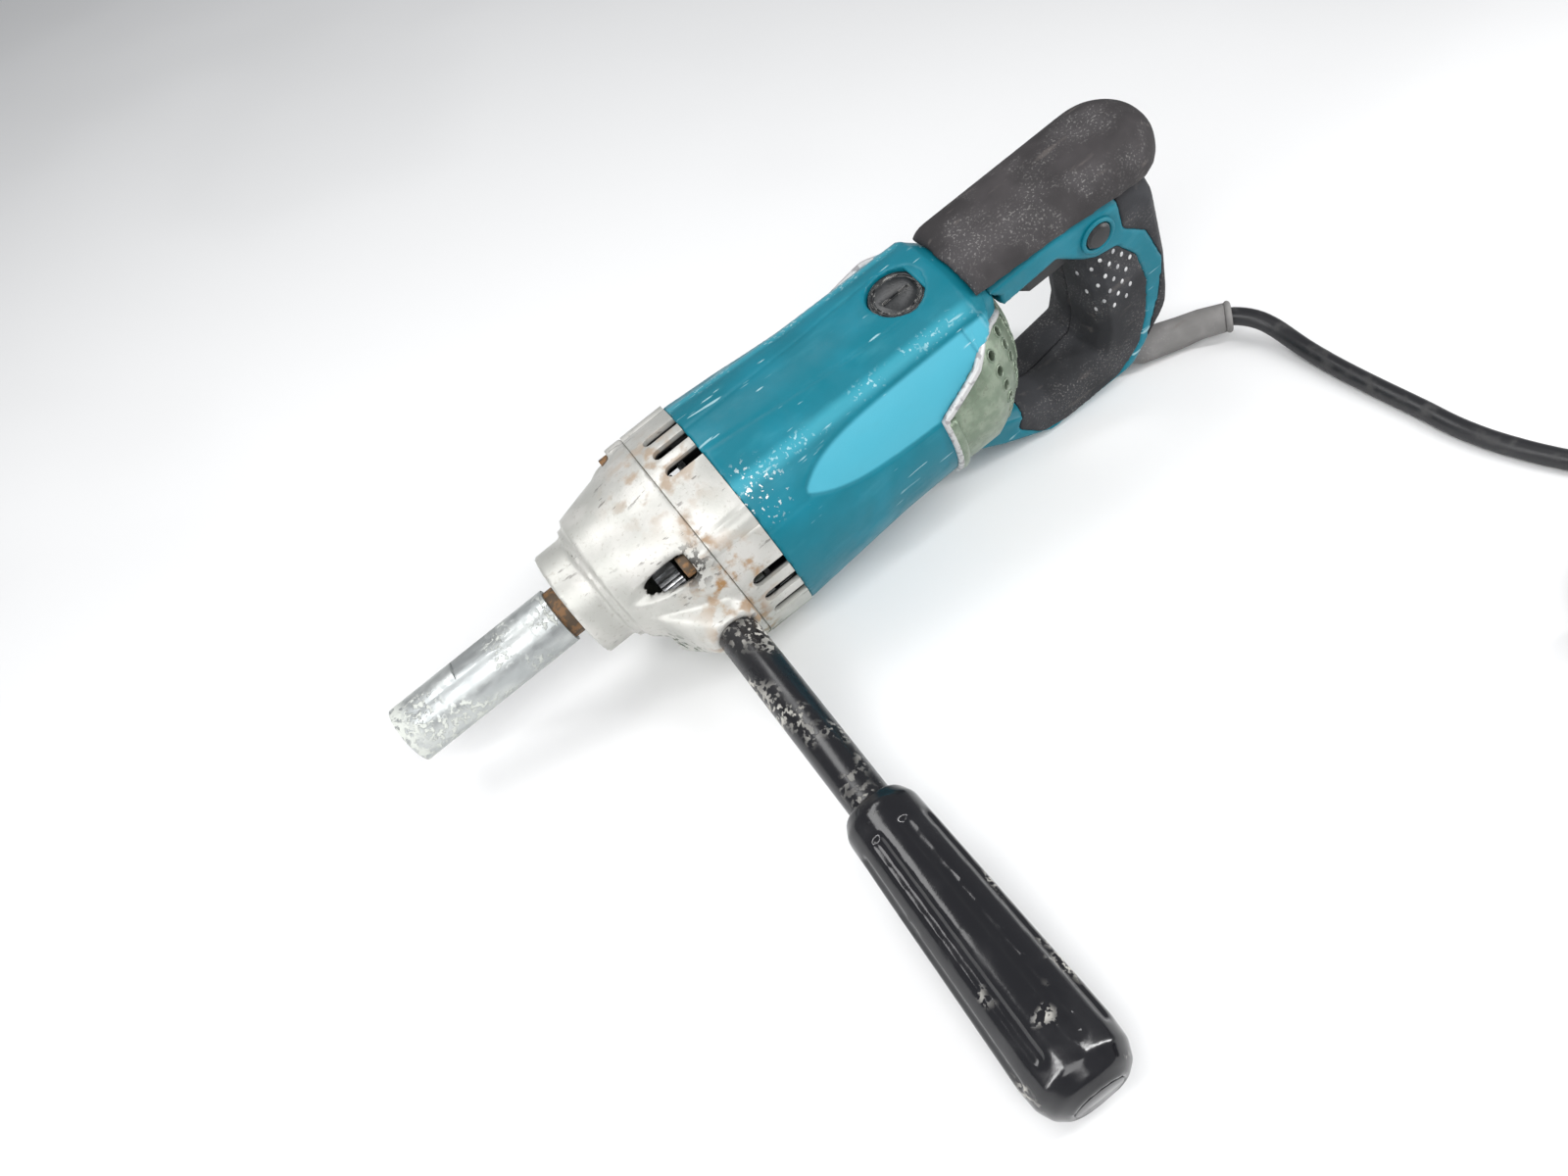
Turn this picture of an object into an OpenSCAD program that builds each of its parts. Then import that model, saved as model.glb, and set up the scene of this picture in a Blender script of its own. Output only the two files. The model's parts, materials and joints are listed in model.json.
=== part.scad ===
// Concrete vibrator drive unit: a hand-held, geared electric motor with a rear D-handle,
// a side handle and a coupling sleeve that takes the flexible shaft of a vibrating poker.
// The tool is built along +X (nose at -X, handle at +X), with the spindle axis on y = 0, z = 0.
// place() then lays it on its side handle, housing and D-handle, so that z = 0 is the floor.

/* [Spindle and coupling sleeve] */
// Outer diameter of the coupling sleeve
sleeve_d = 24; // [22:0.5:26]
// Length of the coupling sleeve
sleeve_len = 73; // [72:1:80]
// Diameter of the socket for the flexible shaft
socket_d = 14; // [10:0.5:15]
// Depth of that socket
socket_len = 38; // [25:1:38]

/* [Gear housing] */
// Diameter of the nose collar
collar_d = 46; // [44:1:50]
// Length of the nose collar
collar_len = 16; // [16:1:20]
// Diameter of the casing at the joint between casting and vent ring
joint_d = 94; // [94:1:98]

/* [Motor] */
// Outer diameter of the motor housing behind its taper
waist_d = 85.6; // [85:0.2:87]
// Outer diameter of the stator stack
stator_d = 76; // [70:1:77]
// Length of the stator stack
stator_len = 52; // [40:1:52]
// Diameter of a brush cap
cap_d = 22; // [20:1:22]

/* [D-handle] */
// Half width of the handle shells
handle_half = 19.5; // [19:0.5:20]
// Wall thickness of the plastic shells
shell_wall = 2.6; // [2.2:0.1:3]
// Thickness of the rubber on the grip
rubber_t = 2; // [1.5:0.1:2.5]
// Half width of the rubber pad on top
pad_half = 21.5; // [21:0.5:23]

/* [Side handle] */
// Distance from the spindle axis to the far end of the side handle
side_reach = 252; // [245:1:260]
// Diameter of the steel tube
tube_d = 16.4; // [15.4:0.2:18]
// Diameter of the grip at its small end
grip_d1 = 28; // [26:0.5:30]
// Diameter of the grip at its large end
grip_d2 = 35.5; // [34:0.5:38]

/* [Hidden] */
$fn = 64;
eps = 0.01;
run_gap = 0.05;
// stations along the tool
casting_x = -38;
collar_x = casting_x - collar_len;
neck_x = collar_x - 6;
sleeve_x = neck_x - sleeve_len;
vent_len = 20;
lip_x = 98;
saddle_x = 130;
motor_z = -15;
waist_r = waist_d / 2;
waist_x = 72;
housing_wall = 2.8;
// rear cover: a dome round the motor axis, cut off above a sloping line
dome_x = 102;
dome_r = 46;
cover_r = waist_r + 0.4;
cover_wall = 2.5;
slope_low = [lip_x, -1];
slope_high = [160, 24.2];
// gear train: teeth of module 1, and centre distances
pinion_teeth = 12;
first_teeth = 32;
last_teeth = 40;
first_span = (pinion_teeth + first_teeth) / 2;
last_span = (pinion_teeth + last_teeth) / 2;
idler_z = (last_span * last_span - first_span * first_span + motor_z * motor_z) / (2 * motor_z);
idler_y = sqrt(last_span * last_span - idler_z * idler_z);
pressure_angle = 20;
flank_gap = 0.06;
dedendum = 1.05;
pinion_addendum = 0.9;
gear_addendum = 0.75;
first_gear_x = -10;
last_gear_x = -23;
// shafts and bearings
spindle_d = 15;
stub_d = 16;
shaft_d = 10;
bush_d = 11;
journal_d = 8;
front_bearing_x = 2;
rear_bearing_x = 124;
bearing_w = 7;
bearing_d = 26;
// motor parts
stator_x = 32;
stator_bore = 44;
core_d = 42;
commutator_x = 101;
commutator_len = 17;
commutator_d = 26;
brush_x = 113;
brush_size = [6, 10, 13];
brush_bore = 16;
cap_top_r = 39.5;
cap_low_r = 35;
// housing screws
lug_angles = [45, 135, 225, 315];
lug_r = 42.5;
lug_d = 12;
lug_x = -8;
screw_d = 5;
// side handle bosses
boss_x = -10.8;
boss_z = -11;
boss_face = 50;
free_face = 48;
boss_bore_d = 14;
boss_bore_len = 8.5;
free_bore_len = 6;
grip_len = 114;
flute_count = 8;
// D-handle outline as blobs [x, z, radius], from the top front round to the lower front
DEE = [[136, 8.5, 8.5], [172, 10.5, 7.5], [202, -5, 19], [202.5, -40, 20], [201.5, -60, 20],
    [190, -79, 15.5], [152, -82, 11], [129, -68.5, 9.5], [114, -58, 8]];
// how the handle's edges round off: depth from the side face, and loss of radius there
edge_steps = [[0, 6], [4, 2.2], [10.5, 0]];
trigger_at = [157, -8];
trigger_size = [34, 16, 14];
trigger_travel = 6;
button_at = [189, 2];
button_d = 11;
// Outline of the rubber on the sides: the inner panel and the strip along the back
PANEL = [[160, 2], [180, -8], [197, -12], [205, -25], [208, -43], [205, -64], [199, -79], [187, -88],
    [160, -89.5], [145, -86], [134, -72], [150, -50]];
BACK = [[200, 18], [201, -6], [211, -16], [217, -38], [213, -56], [204, -78], [214, -104], [240, -60],
    [232, 18]];
handle_screws = [[150, 9], [203, 7], [214, -56], [176, -86], [146, -82]];
// rest pose on the floor
rest_roll = 7.391;
rest_pitch = 11.917;
rest_shift = [-48.585, 99.765, 60.726];
// mains cord, in the floor's frame: what lies loose, then the coil, then the tail to the plug
cord_d = 8;
CORD = [[199, 95.2, 8.8], [210.5, 89, 10.6], [215.2, 84, 10.7], [218.7, 78.3, 9.9], [221, 72, 8.3],
    [222.4, 64.5, 6.3], [223.3, 56, 4.8], [224.1, 46, 4.1], [225.2, 32, 4], [227.1, 16, 4], [229.5, -2, 4],
    [231, -16, 4], [234, -29, 4], [238, -40, 4], [242.5, -50, 4], [248, -60, 4], [257, -74, 4],
    [266, -88.5, 4.4], [275, -103, 5], [284.2, -117.5, 5]];
TAIL = [[248.1, -196.4, 29], [233, -199, 29], [218, -201.5, 27], [203, -204, 22.5], [188, -206.5, 18]];
coil_at = [240, -145];
coil_r = 44;
coil_columns = 3;
coil_layers = 4;
tie_t = 1;
plug_heading = 190;
plug_d = 36;
GUARD = [[158, 104, 15, 12], [172, 101, 10, 15.5], [190, 98, 8.2, 14.5], [200, 95.2, 9, 13.5],
    [210.5, 89, 10.6, 13]];

TEAL = [0.03, 0.47, 0.54];
CAST = [0.86, 0.86, 0.84];
STEEL = [0.72, 0.73, 0.74];
DARK = [0.1, 0.1, 0.11];

// ---- helpers ----
// A rod or cone along +X that starts at x
module rod_x(x, len, d, y = 0, z = 0, d2 = 0) {
    translate([x, y, z]) rotate([0, 90, 0]) cylinder(h = len, d1 = d, d2 = d2 > 0 ? d2 : d);
}

// A ring along +X
module ring_x(x, len, d, hole, y = 0, z = 0) {
    difference() {
        rod_x(x, len, d, y, z);
        rod_x(x - 1, len + 2, hole, y, z);
    }
}

// A rod along -Y or +Y (side = -1 or 1) that starts at distance y from the middle
module rod_y(side, y, len, d, x, z, d2 = 0) {
    translate([x, side * y, z]) rotate([-side * 90, 0, 0]) cylinder(h = len, d1 = d, d2 = d2 > 0 ? d2 : d);
}

// A prism along Y over an outline of [x, z] points, from y1 to y2
module prism_y(outline, y1, y2) {
    translate([0, y2, 0]) rotate([90, 0, 0]) linear_extrude(y2 - y1) polygon(outline);
}

// A tube of round section swept along a list of points
function unit(v) = v / norm(v);
function heading(path, i) = unit(path[min(i + 1, len(path) - 1)] - path[max(i - 1, 0)]);
function side_of(direction) = unit(cross(direction, abs(direction.z) > 0.9 ? [1, 0, 0] : [0, 0, 1]));
function ring_points(centre, direction, r, sides) = let (u = side_of(direction), v = cross(direction, u))
    [for (k = [0:sides - 1]) centre + r * (cos(360 * k / sides) * u + sin(360 * k / sides) * v)];

module tube(path, d, sides) {
    rings = len(path);
    points = [for (i = [0:rings - 1]) each ring_points(path[i], heading(path, i), d / 2, sides)];
    walls = [for (i = [0:rings - 2], k = [0:sides - 1])
        let (a = i * sides + k, b = i * sides + (k + 1) % sides)
        each [[a, b + sides, b], [a, a + sides, b + sides]]];
    caps = [[for (k = [0:sides - 1]) k], [for (k = [sides - 1:-1:0]) (rings - 1) * sides + k]];
    polyhedron(points, concat(walls, caps), convexity = 10);
}

// Involute gear outline, module 1, with tooth 0 on the local X axis
function roll_angle(radius, base) = let (t = sqrt(max(0, radius * radius / (base * base) - 1)))
    t * 180 / PI - atan(t);
function tooth_half(teeth, radius) = let (pitch = teeth / 2, base = pitch * cos(pressure_angle))
    90 / teeth - flank_gap / pitch * 180 / PI + roll_angle(pitch, base) - roll_angle(radius, base);
function gear_outline(teeth, addendum) = let (
        pitch = teeth / 2,
        root = pitch - dedendum,
        start = max(pitch * cos(pressure_angle), root + 0.05),
        tip = pitch + addendum)
    [for (i = [0:teeth - 1], side = [-1, 1], k = [0:4])
        let (step = side < 0 ? k : 4 - k,
            radius = step == 0 ? root : start + (tip - start) * (step - 1) / 3,
            angle = 360 * i / teeth + side * tooth_half(teeth, max(radius, start)))
        radius * [cos(angle), sin(angle)]];

// Angle in a gear's own plane that points along [dy, dz] once its axis lies along +X
function phase_to(dy, dz) = atan2(dy, -dz);

module gear_x(x, len, teeth, addendum, phase, y, z, hole = 0) {
    difference() {
        translate([x, y, z]) rotate([0, 90, 0]) rotate(phase)
            linear_extrude(len) polygon(gear_outline(teeth, addendum));
        if (hole > 0) rod_x(x - 1, len + 2, hole, y, z);
    }
}

// ---- spindle ----
// Tube with a socket in front, a threaded rear bore and two wrench flats
module coupling_sleeve() color(STEEL) difference() {
    rod_x(sleeve_x, sleeve_len, sleeve_d);
    rod_x(sleeve_x - 1, socket_len + 1, socket_d);
    rod_x(neck_x - 32, 33, stub_d);
    for (turn = [0, 180])
        rotate([-22 + turn, 0, 0]) translate([neck_x - 44, -sleeve_d / 2, sleeve_d / 2 - 2])
            cube([22, sleeve_d, 4]);
}

module spindle() color([0.2, 0.15, 0.12]) {
    rod_x(neck_x - 32, 32, stub_d);
    rod_x(neck_x, 5.7, 21);
    rod_x(neck_x, -neck_x - 13, spindle_d);
    rod_x(-13, 12.5, journal_d);
}

module spindle_seal() color(DARK) ring_x(collar_x, 4, 30, spindle_d + 2 * run_gap);

module spindle_bearing() color(STEEL) ring_x(collar_x + 4, 11, 35, spindle_d + 2 * run_gap);

module spindle_bush() color(STEEL) ring_x(-7, 7, bush_d, journal_d + 2 * run_gap);

module spindle_gear() color(STEEL)
    gear_x(last_gear_x, 9, last_teeth, gear_addendum, phase_to(idler_y, idler_z) + 180 / last_teeth,
        0, 0, spindle_d);

// ---- idler ----
module idler_pinion() color(STEEL) {
    rod_x(-30, 36, journal_d, idler_y, idler_z);
    gear_x(-22.5, 11.5, pinion_teeth, pinion_addendum, phase_to(-idler_y, -idler_z), idler_y, idler_z);
}

module idler_gear() color(STEEL)
    gear_x(first_gear_x, 6, first_teeth, gear_addendum,
        phase_to(-idler_y, motor_z - idler_z) + 180 / first_teeth, idler_y, idler_z, journal_d);

module idler_bushes() color("goldenrod") {
    ring_x(-30, 6, bush_d, journal_d + 2 * run_gap, idler_y, idler_z);
    ring_x(0, 6.5, bush_d, journal_d + 2 * run_gap, idler_y, idler_z);
}

// ---- gear housing ----
module lugs(x, len, d) {
    for (a = lug_angles) translate([0, 0, motor_z]) rotate([a, 0, 0]) rod_x(x, len, d, z = lug_r);
}

// The side handle screws into a boss that spreads out over the casting
module side_boss(side, face) hull() {
    rod_y(side, face - 1, 1, 20.5, boss_x, boss_z);
    translate([-32, side < 0 ? -31 : 30, boss_z - 15]) cube([31, 1, 30]);
}

module gear_housing() color(CAST) {
    difference() {
        union() {
            hull() {
                rod_x(casting_x, 1, 56);
                rod_x(-14, 1, 84, z = -13);
                rod_x(-1, 1, joint_d, z = motor_z);
            }
            rod_x(casting_x - 3, 4, 51);
            rod_x(collar_x, collar_len + 1, collar_d);
            side_boss(-1, boss_face);
            side_boss(1, free_face);
            lugs(lug_x, -lug_x, lug_d);
        }
        hull() {
            rod_x(casting_x + 1, 1, 49);
            rod_x(-14, 1, 78.4, z = -13);
            rod_x(-1, 1 + eps, 87, z = motor_z);
        }
        rod_x(collar_x - 1, 6, 30);
        rod_x(collar_x + 4, collar_len, 35);
        rod_y(-1, boss_face - boss_bore_len, 20, boss_bore_d, boss_x, boss_z);
        rod_y(1, free_face - free_bore_len, 20, boss_bore_d, boss_x, boss_z);
        lugs(lug_x - 1, 10, screw_d + 0.4);
        lugs(lug_x - 30, 30, 10.5);
        rod_x(-30, 7, bush_d, idler_y, idler_z);
    }
    difference() {
        rod_x(-30.5, 6.5, 15, idler_y, idler_z);
        rod_x(-30, 7, bush_d, idler_y, idler_z);
    }
}

module gear_housing_screws() color(DARK) {
    lugs(lug_x, 38, screw_d);
    difference() {
        lugs(lug_x - 4, 4, 8.6);
        lugs(lug_x - 4.1, 2.6, 4);
    }
}

// ---- vent ring: bearing plate and cooling slots ----
module slot_cut(a) {
    translate([0, 0, motor_z]) rotate([a, 0, 0]) {
        translate([7.4, -2.5, 30]) cube([20, 5, 30]);
        translate([7.4, 0, 30]) cylinder(h = 30, d = 5, $fn = 12);
    }
}

module vent_ring() color(CAST) difference() {
    union() {
        ring_x(0, vent_len, joint_d, 88, z = motor_z);
        rod_x(0, 3, joint_d - 2, z = motor_z);
        lugs(0, vent_len, lug_d);
        rod_x(-7, 8, 14.4);
        rod_x(0, 7, 15, idler_y, idler_z);
        rod_x(0, 9, 32, z = motor_z);
    }
    for (side = [0:90:270], k = [-1.5:1]) slot_cut(side + 12 * k);
    rod_x(front_bearing_x, 10, bearing_d, z = motor_z);
    rod_x(-1, 5, shaft_d + 3, z = motor_z);
    rod_x(-8, 8, bush_d);
    rod_x(-1, 9, bush_d, idler_y, idler_z);
    lugs(-1, vent_len + 2, screw_d + 0.4);
}

// ---- armature ----
module armature_shaft() color(STEEL) {
    rod_x(-3, 134.5, shaft_d, z = motor_z);
    gear_x(-11, 8.5, pinion_teeth, pinion_addendum, phase_to(idler_y, idler_z - motor_z), 0, motor_z);
}

module armature_core() color([0.45, 0.45, 0.47])
    ring_x(stator_x + 1, stator_len - 2, core_d, shaft_d, z = motor_z);

module armature_windings() color([0.6, 0.3, 0.12]) {
    ring_x(28, 5, 36, shaft_d, z = motor_z);
    ring_x(stator_x + stator_len - 1, commutator_x - stator_x - stator_len + 1, 34, shaft_d,
        z = motor_z);
}

module commutator() color([0.7, 0.42, 0.2]) difference() {
    ring_x(commutator_x, commutator_len, commutator_d, shaft_d, z = motor_z);
    for (a = [0:15:345]) translate([0, 0, motor_z]) rotate([a, 0, 0])
        translate([commutator_x - 1, -0.3, commutator_d / 2 - 1]) cube([commutator_len - 1, 0.6, 2]);
}

module fan() color([0.2, 0.2, 0.22]) {
    ring_x(11, 14, 20, shaft_d, z = motor_z);
    ring_x(11, 2, 72, 18, z = motor_z);
    for (a = [0:24:336]) translate([0, 0, motor_z]) rotate([a, 0, 0])
        translate([12.5, -0.8, 9]) cube([11.5, 1.6, 26.5]);
}

module front_bearing() color(STEEL)
    ring_x(front_bearing_x, bearing_w, bearing_d, shaft_d + 2 * run_gap, z = motor_z);

module rear_bearing() color(STEEL)
    ring_x(rear_bearing_x, bearing_w, bearing_d, shaft_d + 2 * run_gap, z = motor_z);

module bearing_bracket() color(DARK) difference() {
    union() {
        rod_x(119.5, 2, 77.4, z = motor_z);
        intersection() {
            rod_x(119.5, 2, 79.3, z = motor_z);
            translate([110, -50, 12]) cube([20, 100, 40]);
        }
        rod_x(119.5, 12, 32, z = motor_z);
    }
    rod_x(rear_bearing_x, 10, bearing_d, z = motor_z);
    rod_x(119, 10, shaft_d + 4, z = motor_z);
    for (low = [false, true]) brush_side(low) translate([0, 0, 14.8]) cylinder(h = 30, d = 28);
}

// ---- motor housing ----
// What lies behind the lip and below the sloping line belongs to the rear cover
module cover_space() prism_y([slope_low, slope_high, [slope_high.x, -90], [lip_x, -90]], -60, 60);

// The housing tapers from the vent ring to waist_x and closes in behind saddle_x; with an inset
// it runs out past both ends
module housing_form(inset) {
    past = inset > 0 ? 1 : 0;
    translate([0, 0, motor_z]) rotate([0, 90, 0]) rotate_extrude() polygon([[0, vent_len - past],
        [joint_d / 2 - inset, vent_len - past], [waist_r + 0.6 - inset, waist_x],
        [waist_r - 0.5 - inset, saddle_x - 0.3 * inset], [31 - 1.3 * inset - past, 144 + past],
        [0, 144 + past]]);
}

module motor_housing() color(TEAL) difference() {
    union() {
        difference() {
            housing_form(0);
            housing_form(housing_wall);
        }
        intersection() {
            union() {
                lugs(vent_len + 0.5, 10.5, 9);
                translate([brush_x, 0, 10]) cylinder(h = 20, d = 27);
            }
            housing_form(0.5);
        }
    }
    lugs(vent_len - 1, 11, screw_d);
    translate([brush_x, 0, 9]) cylinder(h = 20, d = brush_bore);
    translate([brush_x, 0, motor_z + cap_top_r - 2.5]) cylinder(h = 20, d = cap_d + 0.8);
    cover_space();
}

module stator_core() color([0.5, 0.5, 0.52])
    ring_x(stator_x, stator_len, stator_d, stator_bore, z = motor_z);

module field_coils() color([0.62, 0.3, 0.1]) {
    ring_x(stator_x - 4, 4, 70, 50, z = motor_z);
    ring_x(stator_x + stator_len, 8, 70, 50, z = motor_z);
}

// ---- brushes: one set above the commutator and one below ----
module brush_side(low) translate([brush_x, 0, motor_z]) rotate([low ? 180 : 0, 0, 0]) children();

module brush_channel(grow) translate([0, 0, 20])
    cube([brush_size.x + grow, brush_size.y + grow, 40], center = true);

module brush_holders() color("goldenrod") {
    for (low = [false, true]) brush_side(low) difference() {
        translate([0, 0, 15]) cylinder(h = (low ? cap_low_r : cap_top_r) - 19.5, d = brush_bore);
        brush_channel(0.2);
    }
}

module carbon_brushes() color(DARK) {
    for (low = [false, true]) brush_side(low)
        translate([-brush_size.x / 2, -brush_size.y / 2, commutator_d / 2 + 0.1]) cube(brush_size);
}

module brush_springs() color(STEEL) {
    for (low = [false, true]) brush_side(low) {
        base = commutator_d / 2 + brush_size.z + 0.6;
        rise = (low ? cap_low_r : cap_top_r) - 5.1 - base;
        tube([for (i = [0:30]) [2 * cos(i * 45), 2 * sin(i * 45), base + rise * i / 30]], 0.6, 6);
    }
}

module brush_cap() {
    difference() {
        translate([0, 0, -2.5]) cylinder(h = 2.5, d = cap_d);
        translate([-6, -0.75, -1]) cube([12, 1.5, 2]);
        translate([0, 0, -0.6]) difference() {
            cylinder(h = 1, d = cap_d - 3);
            translate([0, 0, -1]) cylinder(h = 3, d = cap_d - 5);
        }
    }
    translate([0, 0, -4.5]) cylinder(h = 2 + eps, d = brush_bore);
}

module brush_cap_top() color(DARK) brush_side(false) translate([0, 0, cap_top_r]) brush_cap();

module brush_cap_low() color(DARK) brush_side(true) translate([0, 0, cap_low_r]) brush_cap();

// ---- rear cover ----
// Solid of the cover: a cylinder that ends in a dome
module cover_form(inset) {
    edge = acos((cover_r - inset) / (dome_r - inset));
    arc = [for (a = [edge:(90 - edge) / 16:90])
        [max(0, (dome_r - inset) * cos(a)), dome_x + (dome_r - inset) * sin(a)]];
    translate([0, 0, motor_z]) rotate([0, 90, 0]) rotate_extrude()
        polygon(concat([[0, lip_x], [cover_r - inset, lip_x]], arc));
}

module rear_cover() color([0.62, 0.68, 0.6]) difference() {
    intersection() {
        cover_form(0);
        cover_space();
    }
    translate([-eps, 0, 0]) cover_form(cover_wall);
    for (row = [0:3], k = [0:9], side = [-1, 1]) translate([dome_x, 0, motor_z])
        rotate([side * (64 + 11 * k + 5.5 * (row % 2)), 0, 0]) rotate([0, 58 - 14 * row, 0])
            translate([34, 0, 0]) rotate([0, 90, 0]) cylinder(h = 20, d = 4, $fn = 8);
}

// ---- D-handle ----
// Three discs that make a round-edged slice of the handle, w wide each side of the middle
module blob(p, w, inset) translate([p.x, 0, p.y]) rotate([90, 0, 0])
    for (step = edge_steps)
        cylinder(h = 2 * (w - step[0]), r = p[2] - inset - step[1] * min(1, p[2] / 16), center = true,
            $fn = 24);

module handle_form(w, inset, first, last) {
    for (i = [first:last - 1]) hull() {
        blob(DEE[i], w, inset);
        blob(DEE[i + 1], w, inset);
    }
}

// What lies under the rubber, and further in with an inset
module handle_core(inset) handle_form(handle_half - rubber_t - inset, rubber_t + inset, 1, 7);

module shell_hollow() {
    handle_core(shell_wall);
    for (i = [0, 7]) handle_form(handle_half - shell_wall, shell_wall, i, i + 1);
}

module rubber_zone() for (outline = [PANEL, BACK]) translate([0, 30, 0]) rotate([90, 0, 0])
    linear_extrude(60) offset(r = 4, $fn = 24) offset(r = -8, $fn = 24) offset(r = 4) polygon(outline);

module half_space(side) translate([90, side < 0 ? -60 : 0, -120]) cube([160, 60, 200]);

module trigger_window(grow) {
    translate([trigger_at.x - grow, -trigger_size.y / 2 - grow, trigger_at.y - trigger_size.z / 2 - grow])
        cube([trigger_size.x + trigger_travel + 2 * grow, trigger_size.y + 2 * grow,
            trigger_size.z + 2 * grow]);
}

module handle_shell(side) intersection() {
    half_space(side);
    difference() {
        union() {
            difference() {
                handle_form(handle_half, 0, 0, 8);
                difference() {
                    rubber_zone();
                    handle_core(0);
                }
                shell_hollow();
            }
            intersection() {
                union() {
                    handle_core(0.1);
                    handle_form(handle_half - 1, 1, 0, 1);
                }
                for (p = handle_screws) rod_y(side, 0, 30, 9, p.x, p.y);
            }
        }
        cover_form(-0.1);
        housing_form(-0.1);
        trigger_window(0.4);
        for (p = handle_screws) rod_y(1, -13.5, 40, 4.4, p.x, p.y);
        for (p = handle_screws) rod_y(1, 12, 20, 8, p.x, p.y);
        rod_y(-1, 10, 20, button_d + 0.8, button_at.x, button_at.y);
        unplace() guard_form(0.05);
    }
}

module handle_shell_left() color(TEAL) handle_shell(-1);

module handle_shell_right() color(TEAL) handle_shell(1);

module handle_screws() color(DARK) for (p = handle_screws) {
    rod_y(1, -13, 25, 4, p.x, p.y);
    rod_y(1, 12, 2.5, 7.4, p.x, p.y);
}

module grip_rubber(side) intersection() {
    half_space(side);
    difference() {
        intersection() {
            handle_form(handle_half, 0, 1, 7);
            rubber_zone();
        }
        handle_core(-0.02);
        trigger_window(0.6);
        for (p = handle_screws) rod_y(1, 12, 20, 8, p.x, p.y);
        unplace() guard_form(0.05);
    }
}

module grip_rubber_left() color(DARK) grip_rubber(-1);

module grip_rubber_right() color(DARK) grip_rubber(1);

// Pad outline: pointed at the front, round at the back
module pad_slice(inset, z, h) translate([0, 0, z]) linear_extrude(h) hull() {
    polygon([[saddle_x + inset, 0], [saddle_x + 4 + inset, pad_half - inset],
        [saddle_x + 4 + inset, inset - pad_half]]);
    translate([208, 0]) circle(r = pad_half - inset, $fn = 48);
}

module top_pad() color([0.16, 0.15, 0.15]) difference() {
    hull() {
        pad_slice(0, 11.5, 1);
        pad_slice(0, 19, 1);
        pad_slice(3, 24.5, 1);
        pad_slice(10, 29, 0.5);
    }
    handle_form(handle_half + 0.1, -0.1, 0, 3);
    housing_form(-0.1);
    prism_y([[120, 0], [120, 19], [134, 19], [172, 17], [210, 12.5], [210, 0]], -30, 30);
}

// ---- controls ----
module trigger() color([0.05, 0.05, 0.06]) difference() {
    hull() {
        translate([trigger_at.x + 5, -trigger_size.y / 2, trigger_at.y - trigger_size.z / 2])
            cube([trigger_size.x - 5, trigger_size.y, trigger_size.z]);
        for (z = [-1, 1]) translate([trigger_at.x + 3, 0, trigger_at.y + z * (trigger_size.z / 2 - 4)])
            rotate([90, 0, 0]) cylinder(h = trigger_size.y - 5, r = 3, center = true, $fn = 32);
    }
    translate([trigger_at.x - 22, 0, trigger_at.y]) rotate([90, 0, 0])
        cylinder(h = 40, r = 23.5, center = true, $fn = 48);
}

module lock_button() color([0.05, 0.05, 0.06]) {
    rod_y(-1, 13, handle_half - 12, button_d, button_at.x, button_at.y);
    rod_y(-1, handle_half + 1 - eps, 1, button_d, button_at.x, button_at.y, d2 = button_d - 2);
}

module switch_body() color([0.3, 0.3, 0.32])
    translate([trigger_at.x + trigger_size.x + trigger_travel + 1, -9, -36]) cube([16, 18, 34]);

module capacitor() color([0.75, 0.7, 0.3]) translate([192, -7, -66]) cube([15, 14, 24]);

// Two leads from the cord clamp up to the switch
module switch_leads() color("saddlebrown") for (side = [-1, 1])
    tube([[197, 3 * side, -76.3], [199, 4 * side, -71], [202, 10 * side, -67], [203, 10.5 * side, -55],
        [203, 10 * side, -44], [204, 6 * side, -35.8]], 2.6, 8);

module cord_clamp() color(DARK) {
    translate([185, -8, -80]) cube([14, 16, 3.5]);
    for (side = [-1, 1]) translate([192, 5.5 * side, -76.5 - eps]) cylinder(h = 2, d = 4.5);
}

// ---- side handle ----
module side_handle_tube() color([0.07, 0.07, 0.08]) difference() {
    union() {
        rod_y(-1, boss_face - boss_bore_len, boss_bore_len, boss_bore_d, boss_x, boss_z);
        rod_y(-1, boss_face, side_reach - boss_face - 6, tube_d, boss_x, boss_z);
    }
    rod_y(-1, boss_face + 8, side_reach, tube_d - 5, boss_x, boss_z);
}

module side_handle_grip() color([0.05, 0.05, 0.05]) difference() {
    union() {
        rod_y(-1, side_reach - grip_len, 5, grip_d1 - 5, boss_x, boss_z, d2 = grip_d1);
        rod_y(-1, side_reach - grip_len + 5 - eps, grip_len - 21, grip_d1, boss_x, boss_z, d2 = grip_d2);
        rod_y(-1, side_reach - 16 - eps, 8, grip_d2, boss_x, boss_z, d2 = grip_d2 - 1);
        rod_y(-1, side_reach - 8 - eps, 5, grip_d2 - 1, boss_x, boss_z, d2 = grip_d2 - 6);
        rod_y(-1, side_reach - 3 - eps, 3, grip_d2 - 6, boss_x, boss_z, d2 = grip_d2 - 14);
    }
    rod_y(-1, side_reach - grip_len - 1, grip_len - 5, tube_d, boss_x, boss_z);
    rod_y(-1, side_reach - 2, 4, 18, boss_x, boss_z);
    taper = atan((grip_d2 - grip_d1) / 2 / (grip_len - 21));
    for (a = [22.5:360 / flute_count:360]) translate([boss_x, 14 - side_reach, boss_z]) rotate([0, a, 0])
        translate([0, 0, grip_d2 / 2 + 1.6]) rotate([-90 - taper, 0, 0])
            cylinder(h = grip_len - 28, d = 6, $fn = 24);
}

module side_handle_cap() color([0.35, 0.33, 0.3]) rod_y(-1, side_reach - 2, 2, 18, boss_x, boss_z);

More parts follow.
